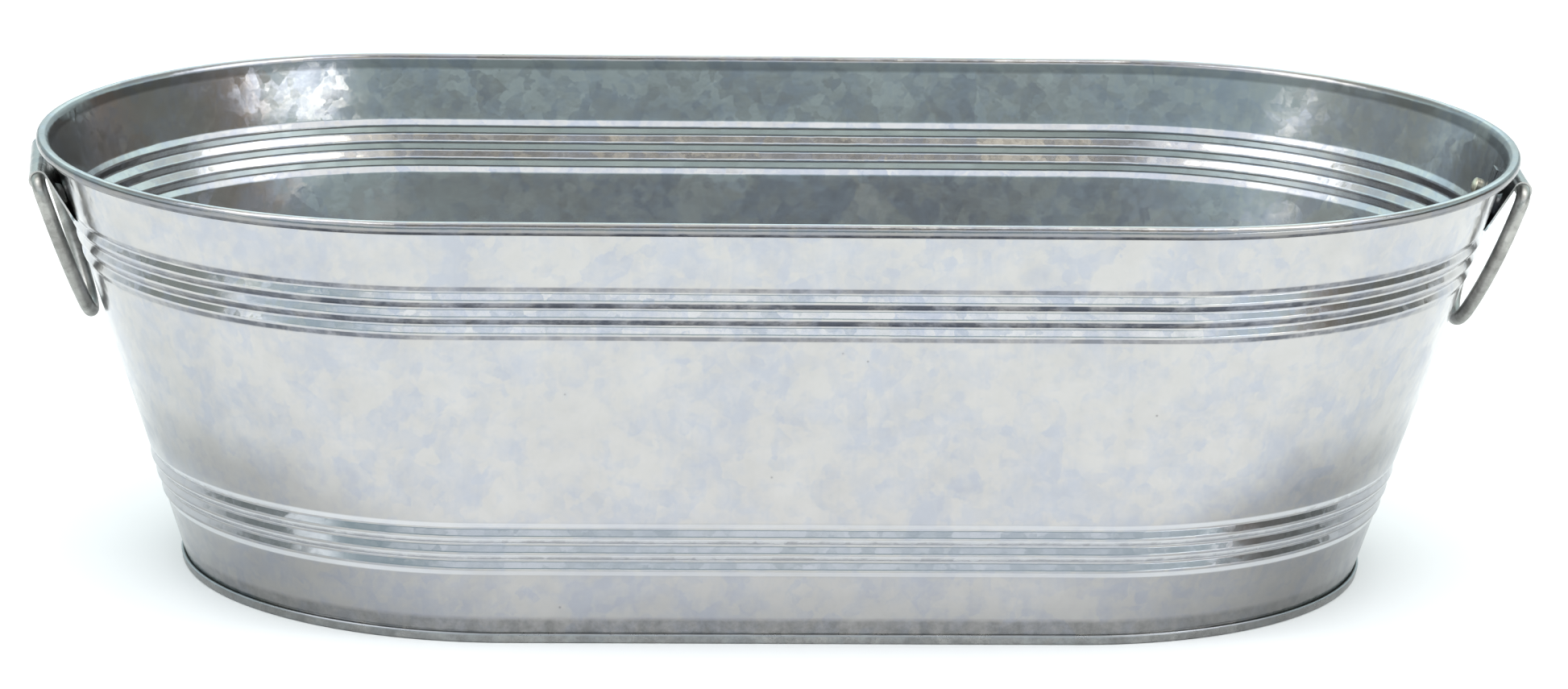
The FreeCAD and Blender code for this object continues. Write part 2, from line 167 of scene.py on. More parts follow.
# ---- section tracing -------------------------------------------------------
class Trace:
    """Sampled centre line of a bent sheet or wire, with its right hand normal."""

    def __init__(self, x, y, heading):
        self.x = x
        self.y = y
        self.heading = heading
        self.rows = []
        self.mark()

    def mark(self):
        angle = rad(self.heading)
        self.rows.append((self.x, self.y, math.sin(angle), -math.cos(angle)))

    def run(self, length, pitch=PITCH):
        angle = rad(self.heading)
        count = max(1, int(math.ceil(abs(length) / pitch)))
        x, y = self.x, self.y
        for i in range(1, count + 1):
            self.x = x + length * i / count * math.cos(angle)
            self.y = y + length * i / count * math.sin(angle)
            self.mark()

    def bend(self, turn, radius, pitch):
        """Positive turns to the left, negative to the right."""
        side = 1.0 if turn > 0 else -1.0
        angle = rad(self.heading)
        cx = self.x - side * radius * math.sin(angle)
        cy = self.y + side * radius * math.cos(angle)
        rx, ry = self.x - cx, self.y - cy
        start = self.heading
        count = max(2, int(math.ceil(abs(turn) / pitch)))
        for i in range(1, count + 1):
            part = rad(turn * i / count)
            self.x = cx + rx * math.cos(part) - ry * math.sin(part)
            self.y = cy + rx * math.sin(part) + ry * math.cos(part)
            self.heading = start + turn * i / count
            self.mark()

    def rise_to(self, level, pitch=PITCH):
        self.run((level - self.y) / math.sin(rad(self.heading)), pitch)

    def lines(self):
        rows = np.array(self.rows)
        return rows[:, :2], rows[:, 2:]


def lean_foot(turn):
    """Where a wall that leans by this turn, in radians, leaves its foot bend."""
    return (FOOT_HALF_WIDTH + LEAN_BEND * (1 - math.cos(turn)),
            LEAN_START_Z + LEAN_BEND * math.sin(turn))


def wall_lean():
    """Lean of the plain wall that joins its foot bend to the roll without a kink."""
    lean = 0.0
    for _ in range(LEAN_ROUNDS):
        turn = rad(lean)
        low_x, low_z = lean_foot(turn)
        top_x = RIM_HALF_WIDTH - ROLL_MID * math.cos(turn)
        top_z = RIM_CENTRE_Z + ROLL_MID * math.sin(turn)
        lean = math.degrees(math.atan2(top_x - low_x, top_z - low_z))
    return lean


LEAN = wall_lean()


def wall_mid(z):
    """Half width of the plain wall at a height, to the middle of the sheet."""
    low_x, low_z = lean_foot(rad(LEAN))
    return low_x + (z - low_z) * math.tan(rad(LEAN))


def bead_flank():
    """Straight length between a crest and the next valley."""
    angle = rad(BEAD_ANGLE)
    half_length = BEAD_PITCH / 2 / math.cos(rad(LEAN))
    return (half_length - 2 * BEAD_RADIUS * math.sin(angle)) / math.cos(angle)


def bead_lead():
    """Straight length of the slope into or out of a group."""
    angle, lead = rad(BEAD_ANGLE), rad(LEAD_ANGLE)
    swing = BEAD_RADIUS * (1 - math.cos(angle)) + bead_flank() / 2 * math.sin(angle)
    rounding = (LEAD_RADIUS + BEAD_RADIUS) * (1 - math.cos(lead))
    return (swing - rounding) / math.sin(lead)


def lead_rise():
    """Height from the plain wall up to the first crest."""
    lead = rad(LEAD_ANGLE)
    length = (LEAD_RADIUS + BEAD_RADIUS) * math.sin(lead) + bead_lead() * math.cos(lead)
    return length * math.cos(rad(LEAN))


def add_bead_group(trace, middle_z):
    """Close waves about the plain wall, with a gentler slope at either end."""
    first_crest = middle_z - (BEADS_IN_GROUP - 1) * BEAD_PITCH / 2
    trace.rise_to(first_crest - lead_rise())
    trace.bend(-LEAD_ANGLE, LEAD_RADIUS, LEAD_STEP)
    trace.run(bead_lead())
    trace.bend(LEAD_ANGLE + BEAD_ANGLE, BEAD_RADIUS, CREST_STEP)
    for _ in range(BEADS_IN_GROUP - 1):
        trace.run(bead_flank())
        trace.bend(-2 * BEAD_ANGLE, BEAD_RADIUS, CREST_STEP)
        trace.run(bead_flank())
        trace.bend(2 * BEAD_ANGLE, BEAD_RADIUS, CREST_STEP)
    trace.run(bead_flank())
    trace.bend(-BEAD_ANGLE - LEAD_ANGLE, BEAD_RADIUS, CREST_STEP)
    trace.run(bead_lead())
    trace.bend(LEAD_ANGLE, LEAD_RADIUS, LEAD_STEP)


def add_wall(trace, top_z):
    add_bead_group(trace, LOWER_GROUP_Z)
    add_bead_group(trace, UPPER_GROUP_Z)
    trace.rise_to(top_z)


def wall_section():
    """From the hook inside the seam, up the beaded wall and round the roll."""
    trace = Trace(FOOT_HALF_WIDTH + 2 * LAYER, SEAM_COVER_Z - HOOK_SHORT, -90.0)
    trace.rise_to(HOOK_BEND_Z, SHORT_RUN)
    trace.bend(-90.0, HOOK_BEND, HOOK_STEP)
    trace.run(2 * LAYER - 2 * HOOK_BEND, SHORT_RUN)
    trace.bend(-90.0, HOOK_BEND, HOOK_STEP)
    trace.rise_to(LEAN_START_Z, SHORT_RUN)
    trace.bend(-LEAN, LEAN_BEND, LEAN_STEP)
    add_wall(trace, RIM_CENTRE_Z + ROLL_MID * math.sin(rad(LEAN)))
    trace.bend(-ROLL_TURN, ROLL_MID, ROLL_STEP)
    return trace


def bottom_section():
    """From the hook over the wall, round the foot and in to the middle."""
    start = HOOK_BEND_Z + HOOK_SHORT
    trace = Trace(FOOT_HALF_WIDTH + LAYER, start, 90.0)
    trace.run(SEAM_COVER_Z - start, SHORT_RUN)
    trace.bend(-180.0, LAYER, HOOK_STEP)
    trace.rise_to(FOOT_BEND_Z, SHORT_RUN)
    trace.bend(-90.0, FOOT_BEND, HOOK_STEP)
    trace.run(4 * LAYER - 2 * FOOT_BEND, SHORT_RUN)
    trace.bend(-90.0, FOOT_BEND, HOOK_STEP)
    trace.rise_to(BOTTOM_TOP_Z - SHEET / 2 - BOTTOM_BEND, SHORT_RUN)
    trace.bend(90.0, BOTTOM_BEND, BOTTOM_STEP)
    trace.run(trace.x, BOTTOM_RUN)
    return trace


# ---- the oval --------------------------------------------------------------
def end_centre(z):
    return FOOT_CENTRE_X + SHEAR * z


def oval_stations(first, last, end_step=2.0, side_count=64):
    """Stations along the front half from the right end to the left end.

    Each is (kind, value): on an end the angle about its centre, on the side
    the share of the end centre's x.
    """
    count = int(math.ceil((90 + first) / end_step))
    stations = [("right", first - (90 + first) * i / count) for i in range(count + 1)]
    stations += [("side", 1 - 2 * i / side_count) for i in range(1, side_count)]
    count = int(math.ceil((90 - last) / end_step))
    stations += [("left", 90 - (90 - last) * i / count) for i in range(count + 1)]
    return stations


def on_oval(station, n, z):
    """Points of one section placed at a station of the front half."""
    kind, value = station
    centre = end_centre(z)
    if kind == "side":
        return np.stack([value * centre, -n, z], -1)
    c, s = math.cos(rad(value)), math.sin(rad(value))
    if kind == "right":
        return np.stack([centre + n * c, n * s, z], -1)
    return np.stack([-centre - n * c, -n * s, z], -1)


def ripple(points):
    """Slight unevenness of hand worked thin sheet, outward, in millimetres."""
    x, y, z = points[..., 0], points[..., 1], points[..., 2]
    height = np.clip((z - 6.0) / 30.0, 0, 1) * np.clip((174.0 - z) / 20.0, 0, 1)
    ends = np.clip((np.abs(y) - 26.0) / 30.0, 0, 1)
    wave = 0.16 * np.sin(x / 38.0 + 0.6 + z / 70.0) * np.cos(z / 31.0 + x / 130.0)
    wave += 0.10 * np.sin(x / 17.0 + 2.1 * np.sin(z / 45.0) + y / 50.0)
    wave += 0.07 * np.sin(z / 12.0 + x / 55.0) * np.cos(x / 90.0 + 1.3)
    return wave * height * ends


# ---- meshes ----------------------------------------------------------------
def add_grid(verts, faces, grid, close_rows=False, close_cols=False):
    """Append a grid of points and its faces. Returns the index grid."""
    rows, cols = grid.shape[:2]
    base = sum(len(v) for v in verts)
    verts.append(grid.reshape(-1, 3))
    index = base + np.arange(rows * cols).reshape(rows, cols)
    i = np.arange(rows if close_rows else rows - 1)
    j = np.arange(cols if close_cols else cols - 1)
    a = index[np.ix_(i, j)]
    b = index[np.ix_((i + 1) % rows, j)]
    c = index[np.ix_((i + 1) % rows, (j + 1) % cols)]
    d = index[np.ix_(i, (j + 1) % cols)]
    faces.extend(np.stack([a, b, c, d], -1).reshape(-1, 4).tolist())
    return index


def strip_cap(faces, ring, flip=False):
    """Close the end of a thin band whose ring runs out one side and back the other."""
    half = len(ring) // 2
    for k in range(half - 1):
        quad = [ring[k], ring[k + 1], ring[-k - 2], ring[-k - 1]]
        faces.append(quad[::-1] if flip else quad)


def build(name, verts, faces, material, body, nodes, weld=0.0):
    """Make one piece, smooth but for its sharp edges, and tell the frame what it is."""
    mesh = bpy.data.meshes.new(name)
    mesh.from_pydata((np.concatenate(verts) * MM).tolist(), [], faces)
    mesh.validate()
    bm = bmesh.new()
    bm.from_mesh(mesh)
    if weld:
        bmesh.ops.remove_doubles(bm, verts=bm.verts, dist=weld * MM)
    bmesh.ops.recalc_face_normals(bm, faces=bm.faces)
    for edge in bm.edges:
        edge.smooth = (len(edge.link_faces) != 2
                       or edge.calc_face_angle() <= rad(SHARP_EDGE))
    for face in bm.faces:
        face.smooth = True
    bm.to_mesh(mesh)
    bm.free()
    mesh.materials.append(material)
    piece = bpy.data.objects.new(name, mesh)
    bpy.context.scene.collection.objects.link(piece)
    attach(piece, body)
    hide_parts(*nodes)


def half_turn(grid):
    return grid * np.array([-1.0, -1.0, 1.0])


def placed(section, station, turned):
    """A section of (distance from the middle, height) points put in its place."""
    points = on_oval(station, section[:, 0], section[:, 1])
    return half_turn(points) if turned else points


def wall_skin(turned):
    """The sheet from its hooked foot to its rolled edge, both faces in one loop."""
    centre, normal = wall_section().lines()
    outer, inner = centre + normal * SHEET / 2, centre - normal * SHEET / 2
    loop = np.concatenate([outer, inner[::-1]])
    middle = np.concatenate([centre, centre[::-1]])
    columns = []
    for station in oval_stations(LAP_HALF, LAP_START):
        push = ripple(placed(middle, station, turned))
        bulged = np.stack([loop[:, 0] + push, loop[:, 1]], -1)
        columns.append(placed(bulged, station, turned))
    return np.stack(columns, 1)


def lap_strip(turned):
    """The covered edge: it steps in from the sheet and runs back behind the other one."""
    trace = Trace(wall_mid(LAP_LOW_Z), LAP_LOW_Z, 90.0 - LEAN)
    add_wall(trace, LAP_HIGH_Z)
    centre, normal = trace.lines()
    covered = np.linspace(-LAP_HALF, LAP_START, LAP_COLUMNS)
    steps = [(angle, LAP_INSET) for angle in covered]
    steps += [(LAP_START + past, share * LAP_INSET) for past, share in LAP_STEP]
    steps += [(LAP_START + past, -LAP_HIDE) for past in LAP_BURIED]
    columns = []
    for angle, inset in steps:
        outer = centre + normal * min(SHEET / 2 - inset, SHEET / 2 - LAP_HIDE)
        inner = centre - normal * (SHEET / 2 + inset)
        loop = np.concatenate([outer, inner[::-1]])
        columns.append(placed(loop, ("right", angle), not turned))
    return np.stack(columns, 1)


def add_band(verts, faces, grid):
    """A closed thin band with both of its ends capped."""
    ring = add_grid(verts, faces, grid, close_rows=True)
    strip_cap(faces, ring[:, 0])
    strip_cap(faces, ring[:, -1], flip=True)


def make_wall(name, node, turned, material):
    verts, faces = [], []
    add_band(verts, faces, wall_skin(turned))
    add_band(verts, faces, lap_strip(turned))
    build(name, verts, faces, material, "tub", [node])


def whole_oval(n, z, stations):
    """Rows of points right round the oval, from the stations of its front half."""
    half = np.stack([on_oval(station, n, z) for station in stations], 1)[:, :-1]
    return np.concatenate([half, half_turn(half)], 1)


def make_bottom(material):
    centre, normal = bottom_section().lines()
    right = centre + normal * SHEET / 2
    left = centre - normal * SHEET / 2
    line = np.concatenate([right[::-1], left])
    line[0, 0] = line[-1, 0] = 0.0
    ring = whole_oval(line[:, 0], line[:, 1], oval_stations(0.0, 0.0))
    verts, faces = [], []
    add_grid(verts, faces, ring, close_cols=True)
    build("raised_bottom", verts, faces, material, "tub", ["bottom_pan"], WELD)


def make_rim_wire(material):
    angle = np.linspace(0, 2 * math.pi, CORE_SIDES, endpoint=False)
    n = RIM_HALF_WIDTH + RIM_WIRE * np.cos(angle)
    z = RIM_CENTRE_Z + RIM_WIRE * np.sin(angle)
    ring = whole_oval(n, z, oval_stations(0.0, 0.0, CORE_END_STEP, CORE_SIDE_COUNT))
    verts, faces = [], []
    add_grid(verts, faces, ring, close_rows=True, close_cols=True)
    build("rim_core_wire", verts, faces, material, "tub", ["rim_wire"])


# ---- handles and lugs ------------------------------------------------------
def handle_trace():
    """Bar under the hood, then a basket arch: long side arcs and a tight bottom arc."""
    turn = rad(HANDLE_SIDE_TURN)
    half_width = HANDLE_HALF_BAR + HANDLE_TOP_BEND
    drop = HANDLE_DROP - HANDLE_TOP_BEND
    spread = (drop - half_width) / (math.sin(turn) + math.cos(turn) - 1)
    low_radius = half_width - spread * (1 - math.cos(turn))
    trace = Trace(HANDLE_END_GAP, 0.0, 0.0)
    trace.run(HANDLE_HALF_BAR - HANDLE_END_GAP, HANDLE_RUN)
    trace.bend(-90.0, HANDLE_TOP_BEND, HANDLE_CORNER_STEP)
    trace.bend(-HANDLE_SIDE_TURN, low_radius + spread, HANDLE_SIDE_STEP)
    trace.bend(2 * HANDLE_SIDE_TURN - 180.0, low_radius, HANDLE_LOW_STEP)
    trace.bend(-HANDLE_SIDE_TURN, low_radius + spread, HANDLE_SIDE_STEP)
    trace.bend(-90.0, HANDLE_TOP_BEND, HANDLE_CORNER_STEP)
    trace.run(HANDLE_HALF_BAR - HANDLE_END_GAP, HANDLE_RUN)
    return trace


def make_handle(name, node, body, turned, material):
    centre, normal = handle_trace().lines()
    lean = rad(HANDLE_LEAN)
    up = np.array([math.sin(lean), 0.0, math.cos(lean)])
    across = np.array([0.0, 1.0, 0.0])
    facing = np.array([math.cos(lean), 0.0, -math.sin(lean)])
    hinge = np.array([HINGE_X, 0.0, HINGE_Z])
    spine = hinge + centre[:, :1] * across + centre[:, 1:] * up
    out = normal[:, :1] * across + normal[:, 1:] * up
    around = np.linspace(0, 2 * math.pi, HANDLE_SIDES, endpoint=False)
    spoke = (np.cos(around)[None, :, None] * out[:, None]
             + np.sin(around)[None, :, None] * facing)
    rings = spine[:, None] + HANDLE_WIRE * spoke
    rings = half_turn(rings) if turned else rings
    verts, faces = [], []
    ring = add_grid(verts, faces, rings, close_cols=True)
    faces.append(ring[0].tolist())
    faces.append(ring[-1][::-1].tolist())
    build(name, verts, faces, material, body, [node])


def rivet_frame(side):
    """Point on the outside of the wall under a rivet, and the outward normal there."""
    outer = wall_mid(RIVET_Z) + SHEET / 2 / math.cos(rad(LEAN))
    angle = math.asin(RIVET_Y / outer)
    slope = math.tan(rad(LEAN)) + SHEAR * math.cos(angle)
    x = end_centre(RIVET_Z) + outer * math.cos(angle)
    point = np.array([x, side * RIVET_Y, RIVET_Z])
    normal = np.array([math.cos(angle), side * math.sin(angle), -slope])
    return point, normal / np.linalg.norm(normal)


def lug_trace():
    """Leaf, then the hood curled over the handle; also the length of the leaf."""
    wrap = HANDLE_WIRE + LUG_CLEARANCE + LUG_SHEET / 2
    leaf = rad(LUG_LEAF_ANGLE)
    top_x = HINGE_X - wrap * math.sin(leaf)
    top_z = HINGE_Z + wrap * math.cos(leaf)
    length = (top_z - LUG_LOW_Z) / math.sin(leaf)
    trace = Trace(top_x - length * math.cos(leaf), LUG_LOW_Z, LUG_LEAF_ANGLE)
    trace.run(length, LEAF_RUN)
    trace.bend(-LUG_WRAP, wrap, HOOD_STEP)
    return trace, length


def press_cup(grid, side, offset, out, flat):
    """Push one face of the leaf in against its way out, down to the seat on the wall."""
    point, away = rivet_frame(side)
    seat = point + away * (SEAT_GAP + LUG_SHEET / 2 + offset)
    depth = ((grid - seat) @ away) / (out @ away)
    from_axis = grid - point
    radial = from_axis - (from_axis @ away)[..., None] * away
    blend = CUP_MOUTH + CUP_SOFTEN - np.linalg.norm(radial, axis=-1)
    blend = np.clip(blend / (CUP_MOUTH - CUP_SEAT + 2 * CUP_SOFTEN), 0, 1)
    blend = blend * blend * (3 - 2 * blend) * flat * (depth > 0)
    grid -= (depth * blend)[..., None] * out


def make_lug(name, node, turned, material):
    trace, length = lug_trace()
    centre, normal = trace.lines()
    steps = np.linalg.norm(np.diff(centre, axis=0), axis=1)
    run = np.concatenate([[0.0], np.cumsum(steps)])
    rise = np.clip(LUG_CORNER - run, 0, None)
    width = LUG_HALF - LUG_CORNER + np.sqrt(LUG_CORNER ** 2 - rise ** 2)
    share = np.linspace(-1, 1, LEAF_COLUMNS)
    surfaces = []
    leaf = rad(LUG_LEAF_ANGLE)
    out = np.array([math.sin(leaf), 0.0, -math.cos(leaf)])
    for offset in (LUG_SHEET / 2, -LUG_SHEET / 2):
        line = centre + normal * offset
        grid = np.zeros((len(line), len(share), 3))
        grid[..., 0] = line[:, 0][:, None]
        grid[..., 1] = width[:, None] * share[None, :]
        grid[..., 2] = line[:, 1][:, None]
        flat = (run <= length)[:, None]
        bow = LUG_DISH * (1 - (grid[..., 1] / LUG_HALF) ** 2)
        grid += (bow * np.clip(1 - run / length, 0, 1)[:, None])[..., None] * out
        for side in (-1, 1):
            press_cup(grid, side, offset, out, flat)
        surfaces.append(grid)
    loop = np.concatenate([surfaces[0], surfaces[1][::-1]])
    verts, faces = [], []
    add_band(verts, faces, half_turn(loop) if turned else loop)
    build(name, verts, faces, material, "tub", [node])


def rivet_dome(height):
    """Head outline from the crown down to its flat face, as (radius, height)."""
    edge = RIVET_EDGE * height
    crown = height - edge
    ball = (RIVET_HEAD ** 2 + crown ** 2) / (2 * crown)
    reach = math.asin(RIVET_HEAD / ball)
    outline = []
    for share in np.linspace(0.0, 1.0, DOME_ROWS):
        angle = reach * share
        outline.append((ball * math.sin(angle), height - ball * (1 - math.cos(angle))))
    outline.append((RIVET_HEAD, 0.0))
    return outline


def make_rivet(name, node, side, turned, material):
    point, normal = rivet_frame(side)
    inner_face = SHEET + RIVET_INNER_GAP
    outer_face = SEAT_GAP + LUG_SHEET + SEAT_GAP
    inner = rivet_dome(RIVET_INNER_HEIGHT)
    outer = rivet_dome(RIVET_OUTER_HEIGHT)
    outline = [(r, -inner_face - h) for r, h in inner]
    outline += [(RIVET_SHANK, -inner_face), (RIVET_SHANK, outer_face)]
    outline += [(r, outer_face + h) for r, h in outer[::-1]]
    outline = np.array(outline)
    first = np.cross(normal, [0.0, 0.0, 1.0])
    first /= np.linalg.norm(first)
    second = np.cross(normal, first)
    around = np.linspace(0, 2 * math.pi, RIVET_SIDES, endpoint=False)
    spoke = np.cos(around)[:, None] * first + np.sin(around)[:, None] * second
    grid = (point + outline[:, 1][:, None, None] * normal
            + outline[:, 0][:, None, None] * spoke[None])
    grid = half_turn(grid) if turned else grid
    verts, faces = [], []
    add_grid(verts, faces, grid, close_cols=True)
    build(name, verts, faces, material, "tub", [node], weld=WELD)


# ---- materials -------------------------------------------------------------
class Nodes:
    """Short helpers for building a node tree."""

    def __init__(self, tree, coordinates):
        self.tree = tree
        self.tree.nodes.clear()
        self.place = self.tree.nodes.new("ShaderNodeTexCoord").outputs[coordinates]

    def link(self, a, b):
        self.tree.links.new(a, b)

    def mapped(self, scale):
        node = self.tree.nodes.new("ShaderNodeMapping")
        self.link(self.place, node.inputs["Vector"])
        node.inputs["Scale"].default_value = scale
        return node.outputs[0]

    def noise(self, scale, detail, rough, distort=0.0, vector=None):
        node = self.tree.nodes.new("ShaderNodeTexNoise")
        self.link(vector or self.place, node.inputs["Vector"])
        node.inputs["Scale"].default_value = scale
        node.inputs["Detail"].default_value = detail
        node.inputs["Roughness"].default_value = rough
        node.inputs["Distortion"].default_value = distort
        return node.outputs["Fac"]

    def cells(self, scale, out, vector=None):
        node = self.tree.nodes.new("ShaderNodeTexVoronoi")
        node.feature = "F1"
        self.link(vector or self.place, node.inputs["Vector"])
        node.inputs["Scale"].default_value = scale
        return node.outputs[out]

    def vector(self, kind, a, b):
        """Vector arithmetic; b is a socket or a tuple of numbers."""
        node = self.tree.nodes.new("ShaderNodeVectorMath")
        node.operation = kind
        self.link(a, node.inputs[0])
        if isinstance(b, tuple):
            node.inputs[1].default_value = b
        else:
            self.link(b, node.inputs[1])
        return node.outputs["Value" if kind == "DOT_PRODUCT" else "Vector"]

    def wander(self, scale, reach, detail):
        """The position, pushed about by noise over a given reach in millimetres."""
        node = self.tree.nodes.new("ShaderNodeTexNoise")
        self.link(self.place, node.inputs["Vector"])
        node.inputs["Scale"].default_value = scale
        node.inputs["Detail"].default_value = detail
        node.inputs["Roughness"].default_value = 0.65
        away = self.vector("SUBTRACT", node.outputs["Color"], (0.5, 0.5, 0.5))
        push = 2 * reach * MM
        away = self.vector("MULTIPLY", away, (push, push, push))
        return self.vector("ADD", self.place, away)

    def crystals(self, scale, vector):
        """Random colour of each crystal; it also stands for the way the crystal tilts."""
        return self.cells(scale, "Color", vector)

    def tilted(self, *tilts):
        """The surface normal, tipped by (crystal colour, amount) pairs."""
        normal = self.tree.nodes.new("ShaderNodeNewGeometry").outputs["Normal"]
        for colour, amount in tilts:
            away = self.vector("SUBTRACT", colour, (0.5, 0.5, 0.5))
            away = self.vector("MULTIPLY", away, (amount, amount, amount))
            normal = self.vector("ADD", normal, away)
        node = self.tree.nodes.new("ShaderNodeVectorMath")
        node.operation = "NORMALIZE"
        self.link(normal, node.inputs[0])
        return node.outputs["Vector"]

    def ramp(self, value, stops):
        node = self.tree.nodes.new("ShaderNodeValToRGB")
        self.link(value, node.inputs[0])
        ramp = node.color_ramp
        while len(ramp.elements) < len(stops):
            ramp.elements.new(0.5)
        for element, (place, colour) in zip(ramp.elements, stops):
            element.position = place
            element.color = (*colour, 1.0)
        return node.outputs[0]

    def remap(self, value, a, b, low, high):
        """From low to high as the value goes from a to b, and no further."""
        node = self.tree.nodes.new("ShaderNodeMapRange")
        self.link(value, node.inputs["Value"])
        limits = {"From Min": a, "From Max": b, "To Min": low, "To Max": high}
        for key, number in limits.items():
            node.inputs[key].default_value = number
        return node.outputs[0]

    def maths(self, kind, a, b):
        node = self.tree.nodes.new("ShaderNodeMath")
        node.operation = kind
        for socket, value in ((node.inputs[0], a), (node.inputs[1], b)):
            if isinstance(value, (int, float)):
                socket.default_value = value
            else:
                self.link(value, socket)
        return node.outputs[0]

    def times(self, a, b):
        return self.maths("MULTIPLY", a, b)

    def plus(self, a, b):
        return self.maths("ADD", a, b)

    def parts(self, vector):
        node = self.tree.nodes.new("ShaderNodeSeparateXYZ")
        self.link(vector, node.inputs[0])
        return node.outputs["X"], node.outputs["Y"], node.outputs["Z"]

    def facing(self):
        """How steeply the surface faces up, and one outside the trough, zero inside."""
        normal = self.tree.nodes.new("ShaderNodeNewGeometry").outputs["Normal"]
        flat = self.vector("MULTIPLY", normal, (1.0, 1.0, 0.0))
        away = self.vector("DOT_PRODUCT", flat, self.place)
        return self.parts(normal)[2], self.remap(away, 0.0, 0.02, 0.0, 1.0)

    def grey(self, value):
        node = self.tree.nodes.new("ShaderNodeCombineColor")
        for socket in node.inputs:
            self.link(value, socket)
        return node.outputs[0]

    def mix(self, factor, a, b, mode="MIX"):
        node = self.tree.nodes.new("ShaderNodeMix")
        node.data_type = "RGBA"
        node.blend_type = mode
        sockets = (node.inputs[0], factor), (node.inputs[6], a), (node.inputs[7], b)
        for socket, value in sockets:
            if isinstance(value, (int, float)):
                socket.default_value = value
            elif isinstance(value, tuple):
                socket.default_value = (*value, 1.0)
            else:
                self.link(value, socket)
        return node.outputs[2]

    def bump(self, height, distance, normal=None):
        """Relief; the distance is the height in millimetres of one unit."""
        node = self.tree.nodes.new("ShaderNodeBump")
        self.link(height, node.inputs["Height"])
        node.inputs["Strength"].default_value = 1.0
        node.inputs["Distance"].default_value = distance * MM
        if normal is not None:
            self.link(normal, node.inputs["Normal"])
        return node.outputs[0]


class Metal(Nodes):
    """The node tree of one metal, in the coordinates of the trough in metres."""

    def __init__(self, name):
        self.material = bpy.data.materials.new(name)
        self.material.use_nodes = True
        super().__init__(self.material.node_tree, "Object")

    def finish(self, colour, rough, normal):
        shader = self.tree.nodes.new("ShaderNodeBsdfPrincipled")
        shader.inputs["Metallic"].default_value = 1.0
        self.link(colour, shader.inputs["Base Color"])
        self.link(rough, shader.inputs["Roughness"])
        self.link(normal, shader.inputs["Normal"])
        output = self.tree.nodes.new("ShaderNodeOutputMaterial")
        self.link(shader.outputs[0], output.inputs["Surface"])
        return self.material


CRYSTAL_TILT = 0.038
SPECK = 0.25                       # brightness of a dark speck next to the sheet's
CORNER_SHADE = ((1, 0.60), (-1, 0.74))  # each end and how dark the painted shade in its lower corner gets
# colour of the painted shade on the down-facing flanks outside
UNDERSIDE_SHADE = (0.042, 0.052, 0.075)
# colour of the painted reflection on the lower beads' down-facing flanks
LOWER_FLANK_SHEEN = (0.82, 0.83, 0.85)
# colour of the painted shade on the lower beads' up-facing flanks
LOW_UPFACING_SHADE = (0.33, 0.34, 0.36)
# colour of the darker mottled band along the seam
SEAM_DARK = (0.16, 0.16, 0.158)
# colour of the painted reflection on down-facing surfaces inside
INSIDE_SHEEN = (0.74, 0.88, 0.91)


def zinc_field(n, large, small, cloud, patch):
    """How far crystals, clouds and drawn streaks push the tone from cool to warm."""
    streak = n.noise(1.0, 4.0, 0.62, 0.0, n.mapped((420.0, 420.0, 14.0)))
    tone = n.times(n.vector("DOT_PRODUCT", large, (0.4, 0.3, 0.3)), 0.16)
    fine = n.times(n.vector("DOT_PRODUCT", small, (0.3, 0.4, 0.3)), 0.16)
    field = n.plus(n.times(cloud, 0.28), n.times(patch, 0.32))
    field = n.plus(field, n.plus(tone, fine))
    return n.plus(field, n.times(streak, 0.12))


def shaded(n, colour, x, z):
    """Soft random blotches, and painted shade: a slightly darker band at the foot and
    darker lower corners.
    """
    shade = n.remap(n.noise(48.0, 6.0, 0.7, 0.3), 0.35, 0.7, 1.0, 0.90)
    # painted shade: the sheet below the lower beads is a little darker
    shade = n.times(shade, n.remap(z, 0.044, 0.049, 0.93, 1.0))
    # painted shade in the lower corners at each end, reaching higher towards the end
    for end, least in CORNER_SHADE:
        side = n.remap(x, 0.10 * end, 0.205 * end, 0.0, 1.0)
        low = n.maths("SUBTRACT", z, n.times(side, 0.040))
        low = n.remap(low, 0.022, 0.042, 1.0, 0.0)
        shade = n.times(shade, n.remap(n.times(side, low), 0.0, 1.0, 1.0, least))
    return n.mix(1.0, colour, n.grey(shade), "MULTIPLY")


